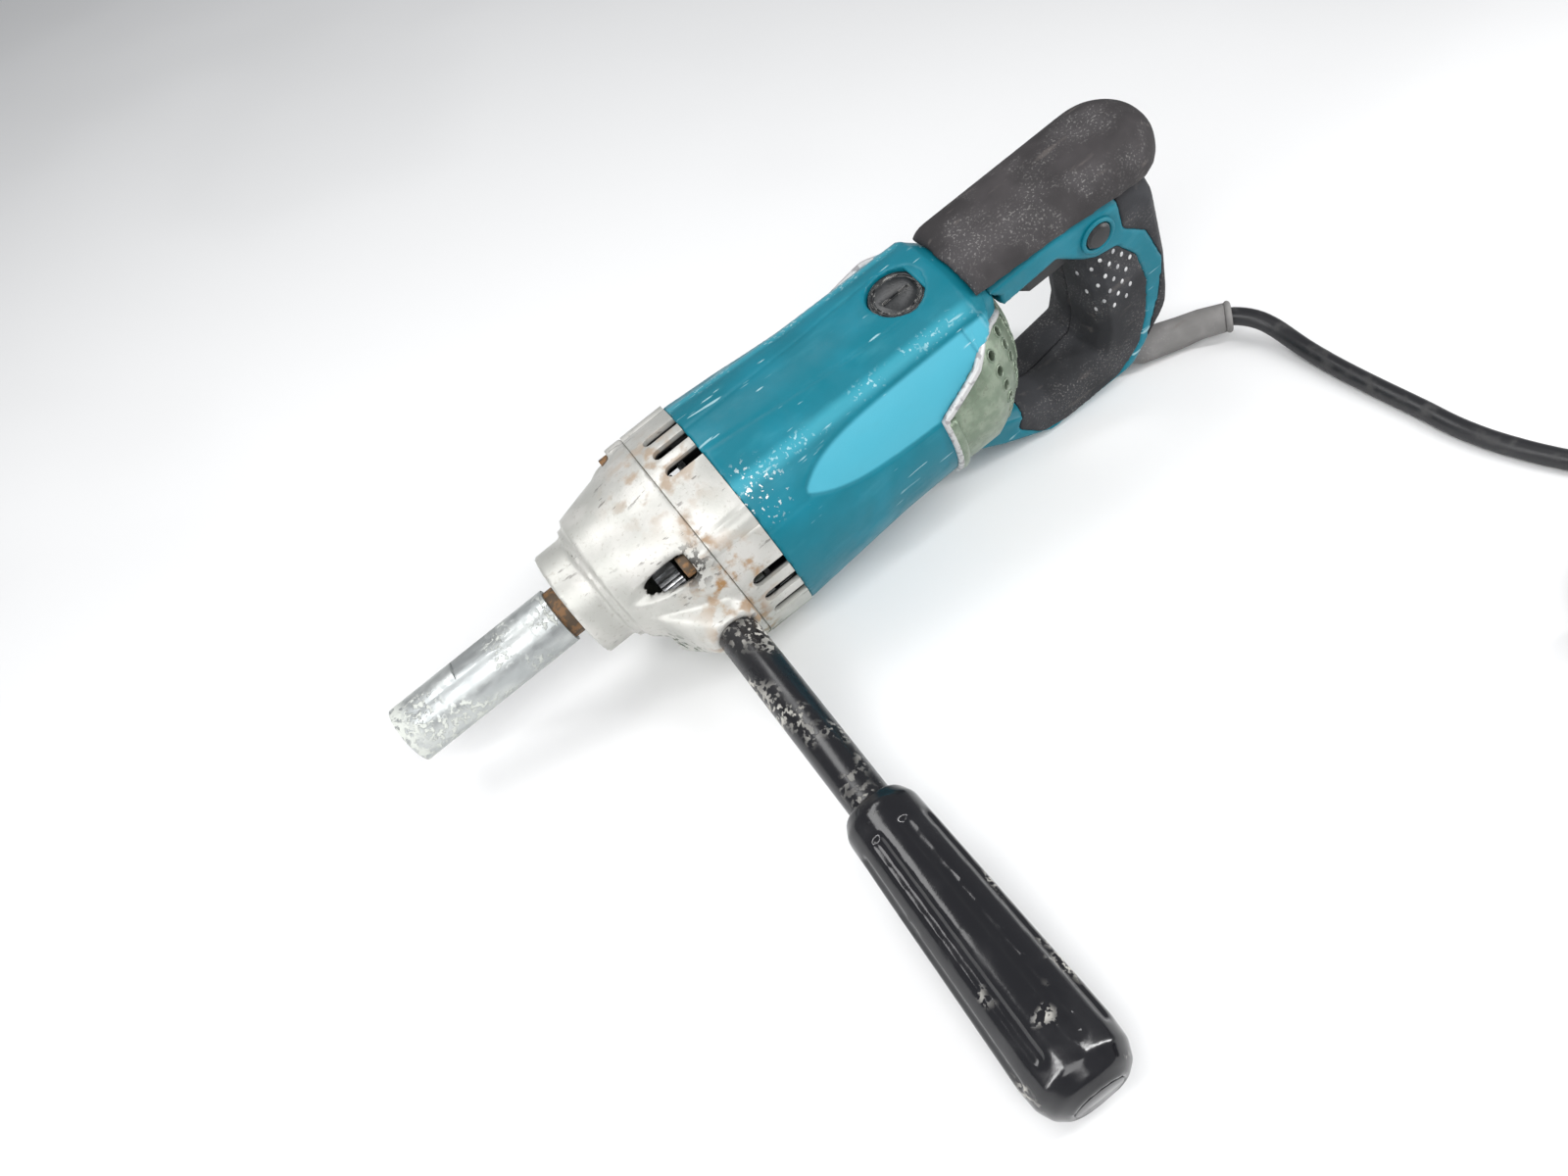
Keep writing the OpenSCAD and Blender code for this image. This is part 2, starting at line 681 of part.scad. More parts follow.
// ---- mains cord, in the floor's frame ----
// Strain relief: a curved taper with a thicker rim, along GUARD's [x, y, z, diameter]
module guard_form(grow) {
    for (i = [0:3]) hull() for (g = [GUARD[i], GUARD[i + 1]])
        translate([g.x, g.y, g.z]) sphere(d = g[3] + 2 * grow, $fn = 16);
}

module cord_guard() color(DARK) difference() {
    guard_form(0);
    tube([CORD[0], CORD[1], CORD[2]], cord_d, 12);
    translate(CORD[1]) rotate([0, -6, -37]) translate([-1.2, -20, -20]) cube([40, 40, 40]);
}

module cord() color(DARK) tube(CORD, cord_d, 12);

module cord_coil() color(DARK) translate([coil_at.x, coil_at.y, tie_t]) rotate_extrude($fn = 96)
    translate([coil_r - coil_columns * cord_d / 2, 0])
        square([coil_columns * cord_d, coil_layers * cord_d]);

module cord_tail() color(DARK) tube(TAIL, cord_d, 12);

module cord_tie() color([0.2, 0.2, 0.2]) translate([coil_at.x, coil_at.y, 0]) rotate([0, 0, 150])
    translate([coil_r, 0, coil_layers * cord_d / 2 + tie_t]) difference() {
        cube([coil_columns * cord_d + 2 * tie_t, 12, coil_layers * cord_d + 2 * tie_t], center = true);
        cube([coil_columns * cord_d, 13, coil_layers * cord_d], center = true);
    }

// Places a plug piece: the cord enters at the origin and the pins point along +X
module on_plug() translate(TAIL[4]) rotate([0, 0, plug_heading]) children();

module plug_body() color(DARK) on_plug() {
    rod_x(0, 24, 14, d2 = 20);
    rod_x(24 - eps, 36, plug_d);
}

module plug_pins() color(STEEL) on_plug() for (side = [-1, 1]) rod_x(60 - eps, 19, 4.8, y = side * 9.5);

// ---- rest pose ----
module place() translate(rest_shift) rotate([rest_roll, -rest_pitch, 0]) children();

// Brings something from the floor's frame back into the tool's own
module unplace() rotate([-rest_roll, 0, 0]) rotate([0, rest_pitch, 0]) translate(-rest_shift)
    children();

place() coupling_sleeve();
place() spindle();
place() spindle_seal();
place() spindle_bearing();
place() spindle_bush();
place() spindle_gear();
place() idler_pinion();
place() idler_gear();
place() idler_bushes();
place() gear_housing();
place() gear_housing_screws();
place() vent_ring();
place() fan();
place() armature_shaft();
place() armature_core();
place() armature_windings();
place() commutator();
place() front_bearing();
place() rear_bearing();
place() bearing_bracket();
place() motor_housing();
place() stator_core();
place() field_coils();
place() brush_holders();
place() carbon_brushes();
place() brush_springs();
place() brush_cap_top();
place() brush_cap_low();
place() rear_cover();
place() handle_shell_left();
place() handle_shell_right();
place() handle_screws();
place() top_pad();
place() grip_rubber_left();
place() grip_rubber_right();
place() trigger();
place() lock_button();
place() switch_body();
place() capacitor();
place() switch_leads();
place() cord_clamp();
place() side_handle_tube();
place() side_handle_grip();
place() side_handle_cap();
cord_guard();
cord();
cord_coil();
cord_tail();
cord_tie();
plug_body();
plug_pins();
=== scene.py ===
import json
import math

import bmesh
import bpy
import numpy as np
from mathutils import Matrix, Vector
from mathutils.bvhtree import BVHTree


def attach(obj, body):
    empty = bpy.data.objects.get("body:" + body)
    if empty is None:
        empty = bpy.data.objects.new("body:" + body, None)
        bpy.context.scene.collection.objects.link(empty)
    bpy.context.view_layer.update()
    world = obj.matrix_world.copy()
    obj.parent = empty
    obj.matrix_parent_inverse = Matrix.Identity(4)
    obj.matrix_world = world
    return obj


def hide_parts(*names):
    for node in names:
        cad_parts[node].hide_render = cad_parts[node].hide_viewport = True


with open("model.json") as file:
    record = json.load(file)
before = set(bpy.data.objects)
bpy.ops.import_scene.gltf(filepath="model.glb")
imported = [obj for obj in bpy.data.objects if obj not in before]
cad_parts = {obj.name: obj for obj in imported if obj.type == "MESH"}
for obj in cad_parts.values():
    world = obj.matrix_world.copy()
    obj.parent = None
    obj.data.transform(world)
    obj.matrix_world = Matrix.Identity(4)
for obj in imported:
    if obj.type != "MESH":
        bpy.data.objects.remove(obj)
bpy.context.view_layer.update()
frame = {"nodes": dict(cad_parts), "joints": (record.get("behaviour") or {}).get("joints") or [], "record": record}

MM = 0.001
ROOT = "machine"


def joint(name):
    return next(j for j in frame["joints"] if j["name"] == name)


# ---- the tool's own frame: X to the rear along the spindle, Y away from the side handle ----
def tool_frame():
    """Matrix from the tool's own frame, in millimetres, to the row frame, in metres."""
    x = Vector(joint("spindle_spin")["axis"])
    y = Vector(joint("lock_press")["axis"])
    origin = Vector(joint("spindle_spin")["pos_m"]) + 60 * MM * x
    turn = Matrix((x, y, x.cross(y))).transposed().to_4x4()
    return Matrix.Translation(origin) @ turn @ Matrix.Scale(MM, 4)


TOOL = tool_frame()
FROM_TOOL = TOOL.inverted()
MOTOR_Z = (FROM_TOOL @ Vector(joint("armature_spin")["pos_m"])).z


def tool_point(x, y, z):
    return TOOL @ Vector((x, y, z))


def link(thing):
    bpy.context.scene.collection.objects.link(thing)
    return thing


# ---- camera ----
LENS, SENSOR_WIDTH = 30.825, 36.0
CAMERA_AT = (-0.12376, -0.26891, 0.41595)
CAMERA_RIGHT, CAMERA_UP = Vector((0.8438, -0.4895, -0.2201)), Vector((0.5046, 0.5838, 0.6361))


def make_camera():
    """Looks down on the tool from beyond the side handle, with its own roll."""
    data = bpy.data.cameras.new("camera")
    data.lens, data.sensor_width = LENS, SENSOR_WIDTH
    camera = link(bpy.data.objects.new("camera", data))
    back = CAMERA_RIGHT.cross(CAMERA_UP)
    turn = Matrix((CAMERA_RIGHT, CAMERA_UP, back)).transposed().to_4x4()
    camera.matrix_world = Matrix.Translation(CAMERA_AT) @ turn
    bpy.context.scene.camera = camera


# ---- materials ----
class Paint:
    """One node material. Its patterns are placed in millimetres of the tool's own frame."""

    def __init__(self, name, colour, rough, metal=0.0, **fixed):
        self.mat = bpy.data.materials.new(name)
        self.mat.use_nodes = True
        self.tree = self.mat.node_tree
        self.shader = self.tree.nodes["Principled BSDF"]
        self.colour, self.rough, self.metal, self.height = (*colour, 1.0), rough, metal, 0.0
        for socket, value in fixed.items():
            self.shader.inputs[socket.replace("_", " ")].default_value = value
        place = self.node("ShaderNodeMapping")
        self.feed(place.inputs["Vector"], self.node("ShaderNodeTexCoord").outputs["Object"])
        place.inputs["Location"].default_value = FROM_TOOL.to_translation()
        place.inputs["Rotation"].default_value = FROM_TOOL.to_euler()
        place.inputs["Scale"].default_value = (1 / MM,) * 3
        self.at = place.outputs[0]
        parts = self.node("ShaderNodeSeparateXYZ", {0: self.at})
        self.x, self.y, self.z = parts.outputs

    def node(self, kind, inputs=None, **settings):
        made = self.tree.nodes.new(kind)
        for key, value in settings.items():
            setattr(made, key, value)
        for socket, value in (inputs or {}).items():
            self.feed(made.inputs[socket], value)
        return made

    def feed(self, socket, value):
        if isinstance(value, bpy.types.NodeSocket):
            self.tree.links.new(value, socket)
        else:
            socket.default_value = value

    def math(self, operation, a, b=0.0):
        return self.node("ShaderNodeMath", {0: a, 1: b}, operation=operation).outputs[0]

    def times(self, *values):
        result = values[0]
        for value in values[1:]:
            result = self.math("MULTIPLY", result, value)
        return result

    def most(self, a, b):
        return self.math("MAXIMUM", a, b)

    def step(self, value, low, high):
        """0 below low, 1 above high, and smooth between; low may be the larger one."""
        made = self.node("ShaderNodeMapRange", {0: value, 1: low, 2: high},
                         interpolation_type="SMOOTHSTEP")
        return made.outputs[0]

    def noise(self, size, detail=3.0, stretch=(1, 1, 1), seed=0.0):
        """Noise whose patches are about size across, pulled out along an axis by stretch."""
        scale = [1 / size / s for s in stretch]
        at = self.node("ShaderNodeVectorMath", {0: self.at, 1: scale}, operation="MULTIPLY")
        at = self.node("ShaderNodeVectorMath", {0: at.outputs[0], 1: (seed, seed / 2, -seed)},
                       operation="ADD")
        made = self.node("ShaderNodeTexNoise",
                         {"Vector": at.outputs[0], "Scale": 1.0, "Detail": detail})
        return made.outputs["Fac"]

    def specks(self, spacing, radius, share, seed=0.0):
        """Round-ish spots of up to that radius, one in so many of the cells having one."""
        shake = self.node("ShaderNodeTexNoise",
                          {"Vector": self.at, "Scale": 0.8, "Detail": 2.0}).outputs["Color"]
        at = self.node("ShaderNodeVectorMath", {0: shake, 1: (radius,) * 3}, operation="MULTIPLY")
        at = self.node("ShaderNodeVectorMath", {0: self.at, 1: at.outputs[0]}, operation="ADD")
        at = self.node("ShaderNodeVectorMath", {0: at.outputs[0], 1: (seed,) * 3}, operation="ADD")
        cells = self.node("ShaderNodeTexVoronoi",
                          {"Vector": at.outputs[0], "Scale": 1 / spacing})
        luck = self.node("ShaderNodeSeparateXYZ", {0: cells.outputs["Color"]})
        reach = self.times(luck.outputs[1], radius / spacing)
        inside = self.step(self.math("SUBTRACT", reach, cells.outputs["Distance"]), 0.0, 0.04)
        return self.times(inside, self.step(luck.outputs[0], share, share - 0.01))

    def rim(self):
        """Distance from the motor axis."""
        up = self.math("SUBTRACT", self.z, MOTOR_Z)
        squares = self.math("ADD", self.times(self.y, self.y), self.times(up, up))
        return self.math("SQRT", squares)

    def near(self, x, y, z, radius):
        """1 at a point of the tool and 0 at that distance from it."""
        gap = self.node("ShaderNodeVectorMath", {0: self.at, 1: (x, y, z)}, operation="DISTANCE")
        return self.step(gap.outputs["Value"], radius, radius * 0.2)

    def edges(self, width, low=0.02, high=0.2):
        """1 on sharp outer and inner edges of the shape."""
        soft = self.node("ShaderNodeBevel", {"Radius": width * MM}, samples=6)
        true = self.node("ShaderNodeNewGeometry")
        same = self.node("ShaderNodeVectorMath", {0: soft.outputs[0], 1: true.outputs["Normal"]},
                         operation="DOT_PRODUCT")
        return self.step(same.outputs["Value"], 1 - low, 1 - high)

    def tint(self, mask, colour):
        mixed = self.node("ShaderNodeMix", {0: mask}, data_type="RGBA")
        self.feed(mixed.inputs[6], self.colour)
        mixed.inputs[7].default_value = (*colour, 1.0)
        self.colour = mixed.outputs[2]
        return self

    def roughen(self, mask, value):
        mixed = self.node("ShaderNodeMix", {0: mask, 3: value}, data_type="FLOAT")
        self.feed(mixed.inputs[2], self.rough)
        self.rough = mixed.outputs[0]
        return self

    def dull(self, mask):
        """Takes the metal away where the mask is 1, as a deposit on it does."""
        clear = self.math("SUBTRACT", 1.0, mask)
        self.metal = self.times(clear, self.metal)
        return self

    def lift(self, mask, height):
        """Raises the bump by that many millimetres where the mask is 1."""
        self.height = self.math("ADD", self.height, self.times(mask, height))
        return self

    def done(self):
        self.feed(self.shader.inputs["Base Color"], self.colour)
        self.feed(self.shader.inputs["Roughness"], self.rough)
        self.feed(self.shader.inputs["Metallic"], self.metal)
        if isinstance(self.height, bpy.types.NodeSocket):
            bump = self.node("ShaderNodeBump", {"Height": self.height, "Distance": MM})
            self.feed(self.shader.inputs["Normal"], bump.outputs[0])
        return self.mat


# The recess on each side of the motor housing starts at this X. Its upper and lower edges lie
# at an angle from the top, in degrees, that closes up towards the front: end angle, how much
# it closes, and the length in millimetres over which it does.
PANEL_X = 41
PANEL_TOP, PANEL_TOP_SHIFT, PANEL_TOP_LENGTH = 38.3, 13, 12
PANEL_LOW, PANEL_LOW_SHIFT, PANEL_LOW_LENGTH = 72, 17, 18
RIDGE_ANGLE = 32

CEMENT = (0.62, 0.6, 0.55)
DUST = (0.26, 0.25, 0.24)
TEAL_COLOUR = (0.002, 0.14, 0.19)


def cement_splash(paint, amount, seed=0.0):
    """Dried splashes of cement in clusters; amount runs from 0 to 1."""
    cluster = paint.step(paint.noise(22, 2, seed=seed + 3), 0.62 - 0.2 * amount, 0.75)
    grain = paint.step(paint.noise(2.2, 4, seed=seed), 0.5, 0.56)
    return paint.times(cluster, grain)


def side_panel(paint, angle):
    """The recess on each side of the motor housing: it tapers to a point at the front."""
    def decay(length):
        along = paint.math("DIVIDE", paint.math("SUBTRACT", PANEL_X, paint.x), length)
        return paint.math("POWER", math.e, along)
    top_shift = paint.times(decay(PANEL_TOP_LENGTH), math.radians(PANEL_TOP_SHIFT))
    low_shift = paint.times(decay(PANEL_LOW_LENGTH), math.radians(PANEL_LOW_SHIFT))
    top = paint.math("ADD", top_shift, math.radians(PANEL_TOP))
    low = paint.math("SUBTRACT", math.radians(PANEL_LOW), low_shift)
    inside = paint.times(paint.step(paint.math("SUBTRACT", angle, top), 0.0, 0.05),
                         paint.step(paint.math("SUBTRACT", low, angle), 0.0, 0.03))
    return paint.times(inside, paint.step(paint.x, 40, 42), paint.step(paint.x, 136, 128))


def teal_plastic():
    paint = Paint("teal_plastic", TEAL_COLOUR, 0.4, Specular_IOR_Level=0.28)
    angle = paint.math("ARCTAN2", paint.math("ABSOLUTE", paint.y),
                       paint.math("SUBTRACT", paint.z, MOTOR_Z))
    off_ridge = paint.math("ABSOLUTE", paint.math("SUBTRACT", angle, math.radians(RIDGE_ANGLE)))
    body = paint.step(paint.x, 134, 124)
    ridge = paint.times(paint.step(off_ridge, 0.11, 0.02), body)
    panel_highlight = side_panel(paint, angle)
    paint.tint(paint.step(paint.noise(26, 3), 0.4, 0.7), (0.003, 0.17, 0.235))
    # painted highlight: the side recess gets a lighter teal, standing in for light reflected off it
    paint.tint(paint.times(panel_highlight, 0.8), (0.08, 0.4, 0.52))
    # painted highlight: a lighter teal band along the ridge; the same ridge mask also places the real scuffs below
    paint.tint(paint.times(ridge, 0.55), (0.05, 0.36, 0.46))
    haze = paint.step(paint.noise(6, 5, stretch=(3, 1, 1)), 0.52, 0.8)
    paint.tint(paint.times(haze, 0.2), (0.06, 0.3, 0.36))
    scuff = paint.times(ridge, paint.step(paint.noise(1.6, 4, seed=5), 0.57, 0.62),
                        paint.step(paint.noise(14, 2, seed=1), 0.42, 0.6))
    scratch = paint.times(paint.step(paint.noise(3, 2, stretch=(9, 1, 0.6), seed=8), 0.66, 0.69),
                          paint.step(paint.noise(18, 2, seed=2), 0.52, 0.6))
    paint.tint(paint.times(paint.most(scuff, scratch), 0.7), (0.4, 0.6, 0.64))
    worn = paint.times(paint.edges(0.9), paint.step(paint.noise(4, 4, seed=4), 0.34, 0.48))
    paint.tint(paint.times(worn, 0.85), (0.45, 0.66, 0.7))
    front_scuffs = paint.times(paint.near(26, -28, 20, 16),
                               paint.step(paint.noise(2.0, 4, seed=12), 0.6, 0.63))
    spots = paint.most(paint.specks(15, 1.5, 0.18), front_scuffs)
    paint.tint(spots, (0.8, 0.82, 0.8)).roughen(spots, 0.85)
    paint.roughen(paint.step(paint.noise(9, 4, seed=7), 0.4, 0.7), 0.54)
    return paint.lift(spots, 0.12).lift(paint.noise(0.7, 2), 0.03).done()


def cast_aluminium():
    paint = Paint("cast_aluminium", (0.46, 0.46, 0.43), 0.42, 0.35)
    paint.tint(paint.step(paint.noise(14, 4), 0.35, 0.7), (0.57, 0.56, 0.53))
    seam = paint.step(paint.math("ABSOLUTE", paint.x), 7, 1)
    stain = paint.step(paint.noise(7, 4, seed=3), 0.46, 0.62)
    side = paint.step(paint.y, -8, -30)
    rust = paint.times(stain, side, paint.most(paint.times(seam, 0.8), paint.near(0, -40, 5, 24)))
    rust = paint.most(rust, paint.times(stain, paint.near(-12, -52, -10, 16), 0.9))
    rust = paint.most(rust, paint.times(stain, paint.near(2, 0, 30, 30), 0.6))
    paint.tint(rust, (0.3, 0.17, 0.07))
    flakes = paint.step(paint.noise(3, 4, seed=9), 0.52, 0.56)
    green = paint.times(flakes, paint.most(paint.near(-32, -34, -22, 20), paint.near(-6, -38, -44, 22)))
    paint.tint(green, (0.05, 0.07, 0.045))
    black = paint.times(flakes, paint.near(-9, -33, 16, 12))
    paint.tint(black, (0.02, 0.018, 0.016))
    grime = paint.step(paint.noise(1.3, 4, seed=6), 0.6, 0.68)
    paint.tint(paint.times(grime, 0.45), (0.33, 0.31, 0.27))
    # painted shadow: a near-black disc of 9 mm radius at (-14, -31, 16), where the recess lies in shade
    paint.tint(paint.near(-14, -31, 16, 9), (0.03, 0.028, 0.026))
    shade = paint.step(paint.z, -8, -55)
    paint.tint(paint.times(shade, 0.6), (0.27, 0.31, 0.25))
    scrape = paint.times(paint.step(paint.noise(2, 3, stretch=(4, 1, 1), seed=13), 0.62, 0.66),
                         paint.step(paint.noise(13, 2, seed=5), 0.5, 0.6))
    paint.tint(paint.times(scrape, 0.7), (0.16, 0.15, 0.14))
    worn = paint.times(paint.edges(0.8), paint.step(paint.noise(5, 3, seed=1), 0.4, 0.55))
    paint.tint(paint.times(worn, 0.5), (0.3, 0.29, 0.25))
    # painted shade: cast faces within about 45 mm of the motor axis and behind x = 4, inside the vent slots, are
    # made near-black
    inside = paint.step(paint.rim(), 45.4, 44.6)
    paint.tint(paint.times(inside, paint.step(paint.x, 3, 4)), (0.02, 0.02, 0.02))
    spoiled = paint.most(paint.most(rust, green), black)
    paint.dull(spoiled).roughen(spoiled, 0.8)
    return paint.lift(paint.noise(0.9, 4), 0.08).lift(black, -0.4).lift(green, -0.25).done()


def cover_metal():
    paint = Paint("cover_metal", (0.16, 0.21, 0.15), 0.36, 0.45)
    paint.tint(paint.step(paint.noise(5, 4), 0.4, 0.65), (0.23, 0.28, 0.21))
    paint.tint(paint.times(paint.edges(0.7), 0.7), (0.55, 0.55, 0.53))
    grime = paint.step(paint.noise(1.6, 4, seed=2), 0.56, 0.64)
    paint.tint(paint.times(grime, 0.6), (0.12, 0.14, 0.1)).dull(grime)
    return paint.lift(paint.noise(0.8, 3), 0.05).done()


def lip_metal():
    paint = Paint("lip_metal", (0.5, 0.5, 0.5), 0.4, 0.25)
    worn = paint.step(paint.noise(3, 4, seed=5), 0.52, 0.6)
    paint.tint(paint.times(worn, 0.6), (0.2, 0.19, 0.2)).roughen(worn, 0.7)
    return paint.lift(paint.noise(1.2, 4), 0.05).done()


def zinc_steel():
    paint = Paint("zinc_steel", (0.42, 0.44, 0.44), 0.34, 0.8)
    paint.tint(paint.step(paint.noise(10, 3, stretch=(3, 1, 1)), 0.4, 0.65), (0.55, 0.57, 0.56))
    paint.roughen(paint.step(paint.noise(4, 4), 0.4, 0.65), 0.5)
    crust = paint.times(paint.step(paint.noise(16, 2, seed=4), 0.46, 0.6),
                        paint.step(paint.noise(1.8, 5, seed=2), 0.5, 0.58))
    crust = paint.most(crust, paint.times(paint.step(paint.x, -124, -131),
                                          paint.step(paint.noise(2.5, 4), 0.42, 0.52)))
    paint.tint(crust, (0.58, 0.6, 0.56)).dull(crust).roughen(crust, 0.85)
    dark = paint.times(paint.edges(0.8), 0.6)
    paint.tint(dark, (0.1, 0.1, 0.09))
    return paint.lift(crust, 0.3).lift(paint.noise(0.6, 3, stretch=(1, 4, 4)), 0.04).done()


def plain_steel(name, colour, rough):
    paint = Paint(name, colour, rough, 0.9)
    paint.tint(paint.step(paint.noise(5, 4), 0.4, 0.7), [c * 0.6 for c in colour])
    paint.roughen(paint.step(paint.noise(3, 3, seed=2), 0.4, 0.6), rough + 0.2)
    return paint.lift(paint.noise(0.5, 3), 0.03).done()


def rusty_steel():
    paint = Paint("rusty_steel", (0.1, 0.07, 0.045), 0.6, 0.4)
    rust = paint.step(paint.noise(2.5, 4), 0.45, 0.6)
    paint.tint(rust, (0.2, 0.1, 0.035)).dull(rust)
    return paint.lift(paint.noise(0.8, 4), 0.15).done()


def black_gloss(name, splash, rough=0.16):
    """Glossy black lacquer or plastic with dried cement on it."""
    paint = Paint(name, (0.008, 0.008, 0.01), rough, Specular_IOR_Level=0.5)
    paint.tint(paint.step(paint.noise(18, 3, seed=1), 0.5, 0.8), (0.02, 0.02, 0.022))
    smear = paint.step(paint.noise(12, 5, stretch=(1, 2, 1)), 0.45, 0.75)
    paint.roughen(smear, rough + 0.16)
    spots = cement_splash(paint, splash, seed=2)
    spots = paint.most(spots, paint.specks(10, 2.0, 0.3 * splash, seed=5))
    paint.tint(spots, CEMENT).roughen(spots, 0.9)
    rub = paint.times(paint.edges(0.8), paint.step(paint.noise(2.5, 4, seed=3), 0.45, 0.6), 0.6)
    paint.tint(rub, (0.2, 0.19, 0.18))
    return paint.lift(spots, 0.35).lift(paint.noise(1.5, 3), 0.02).done()


def black_plastic():
    paint = Paint("black_plastic", (0.008, 0.008, 0.009), 0.38)
    paint.tint(paint.step(paint.noise(7, 4), 0.4, 0.7), (0.016, 0.016, 0.018))
    worn = paint.times(paint.edges(0.6), paint.step(paint.noise(2, 4, seed=3), 0.42, 0.55))
    paint.tint(paint.times(worn, 0.6), (0.2, 0.2, 0.2))
    return paint.lift(paint.noise(0.5, 3), 0.05).done()


def brush_cap():
    """Black moulding whose outer ring is chipped white."""
    paint = Paint("brush_cap", (0.008, 0.009, 0.01), 0.35)
    paint.tint(paint.step(paint.noise(6, 4), 0.45, 0.7), (0.02, 0.021, 0.023))
    chips = paint.times(paint.edges(0.9), paint.step(paint.noise(4.5, 4, seed=3), 0.48, 0.54))
    paint.tint(chips, (0.7, 0.68, 0.64)).roughen(chips, 0.8)
    return paint.lift(paint.noise(0.8, 3), 0.06).done()


def dusty_rubber(name, colour, dust):
    """Matt rubber; dust says how much pale powder lies in its grain, from 0 to 1."""
    paint = Paint(name, colour, 0.78, Specular_IOR_Level=0.35)
    paint.tint(paint.step(paint.noise(24, 3, seed=2), 0.4, 0.7), [c * 1.7 for c in colour])
    patch = paint.step(paint.noise(17, 3, seed=6), 0.42, 0.68)
    powder = paint.step(paint.noise(0.9, 4, seed=3), 0.55, 0.68)
    paint.tint(paint.times(patch, powder, dust), DUST)
    paint.tint(paint.times(patch, 0.25 * dust), (0.12, 0.115, 0.12))
    streak = paint.step(paint.noise(5, 5, stretch=(3, 1, 1), seed=9), 0.6, 0.72)
    paint.tint(paint.times(streak, 0.5 * dust), (0.15, 0.13, 0.12))
    spots = paint.specks(16, 1.9, 0.1, seed=7)
    paint.tint(spots, (0.7, 0.7, 0.68))
    worn = paint.times(paint.edges(1.0), paint.step(paint.noise(3, 4, seed=3), 0.45, 0.6))
    paint.tint(paint.times(worn, 0.4), (0.2, 0.19, 0.18))
    return paint.lift(paint.noise(0.7, 3), 0.12).lift(spots, 0.2).done()


def cord_rubber():
    paint = Paint("cord_rubber", (0.012, 0.012, 0.014), 0.36)
    dust = paint.step(paint.noise(7, 5), 0.5, 0.75)
    paint.tint(paint.times(dust, 0.5), (0.07, 0.068, 0.066)).roughen(dust, 0.65)
    return paint.lift(paint.noise(1.2, 3), 0.05).done()


def copper_wire():
    paint = Paint("copper_wire", (0.4, 0.13, 0.04), 0.35, 0.7)
    wires = paint.node("ShaderNodeTexWave", {"Vector": paint.at, "Scale": 0.45})
    paint.tint(paint.step(wires.outputs["Fac"], 0.4, 0.1), (0.12, 0.035, 0.01))
    return paint.lift(wires.outputs["Fac"], 0.3).done()


def laminations():
    paint = Paint("laminations", (0.16, 0.16, 0.17), 0.5, 0.7)
    sheets = paint.node("ShaderNodeTexWave", {"Vector": paint.at, "Scale": 0.6})
    paint.tint(paint.step(sheets.outputs["Fac"], 0.3, 0.7), (0.3, 0.3, 0.31))
    return paint.lift(sheets.outputs["Fac"], 0.15).done()


def mottled(name, colour, other, rough, metal=0.0):
    paint = Paint(name, colour, rough, metal)
    paint.tint(paint.step(paint.noise(4, 4), 0.4, 0.65), other)
    paint.roughen(paint.step(paint.noise(2, 3, seed=1), 0.4, 0.7), min(1.0, rough + 0.2))
    return paint.lift(paint.noise(0.6, 3), 0.05).done()


# ---- shapes ----
def cad_mesh(node):
    return frame["nodes"][node].data


def body_of(node):
    groups = frame["record"]["behaviour"]["bodies"]
    return next(body for body, nodes in groups.items() if node in nodes)


def slot_of(node):
    return next(s["material_slot"] for s in frame["record"]["subparts"] if s["node"] == node)


def piece(name, mesh, material, node, stands_in=True):
    """An object of its own that rides with a CAD node and, unless it only adds to it, replaces it."""
    thing = link(bpy.data.objects.new(name, mesh))
    mesh.materials.clear()
    mesh.materials.append(material)
    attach(thing, body_of(node))
    if stands_in:
        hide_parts(node)
    return thing


def applied(mesh, *modifiers):
    """A mesh with modifiers, each a type and its settings, applied to it."""
    thing = link(bpy.data.objects.new("work", mesh))
    for kind, settings in modifiers:
        made = thing.modifiers.new(kind, kind)
        for key, value in settings.items():
            setattr(made, key, value)
    graph = bpy.context.evaluated_depsgraph_get()
    result = bpy.data.meshes.new_from_object(thing.evaluated_get(graph))
    bpy.data.objects.remove(thing)
    return result


def softened(node, material, voxel, rounds, relief=None):
    """A node's shape with its edges rounded, as a moulding or a casting has them."""
    mesh = applied(cad_mesh(node).copy(),
                   ("REMESH", {"mode": "VOXEL", "voxel_size": voxel * MM}),
                   ("SMOOTH", {"factor": 0.5, "iterations": rounds}))
    if relief:
        for vertex in mesh.vertices:
            vertex.co = TOOL @ relief(FROM_TOOL @ vertex.co)
    mesh.shade_smooth()
    return piece(node + "_moulded", mesh, material, node)


def mesh_of(bm, name):
    mesh = bpy.data.meshes.new(name)
    bm.to_mesh(mesh)
    bm.free()
    return mesh


def ring_points(middle, u, v, radius, count):
    return [middle + radius * (math.cos(a) * u + math.sin(a) * v)
            for a in np.linspace(0, 2 * math.pi, count, endpoint=False)]


def bevelled(node, material, width, segments=2, angle=35):
    """A node's shape with its sharp edges broken, as a turned or pressed part has them."""
    bm = bmesh.new()
    bm.from_mesh(cad_mesh(node))
    bmesh.ops.remove_doubles(bm, verts=bm.verts, dist=0.004 * MM)
    bmesh.ops.dissolve_limit(bm, angle_limit=math.radians(0.5), verts=bm.verts, edges=bm.edges)
    sharp = [e for e in bm.edges
             if len(e.link_faces) == 2 and e.calc_face_angle(0) > math.radians(angle)]
    bmesh.ops.bevel(bm, geom=sharp, offset=width * MM, segments=segments, profile=0.5,
                    affect="EDGES", clamp_overlap=True)
    mesh = mesh_of(bm, node)
    mesh.shade_smooth()
    mesh.set_sharp_from_angle(angle=math.radians(angle))
    return piece(node + "_trimmed", mesh, material, node)


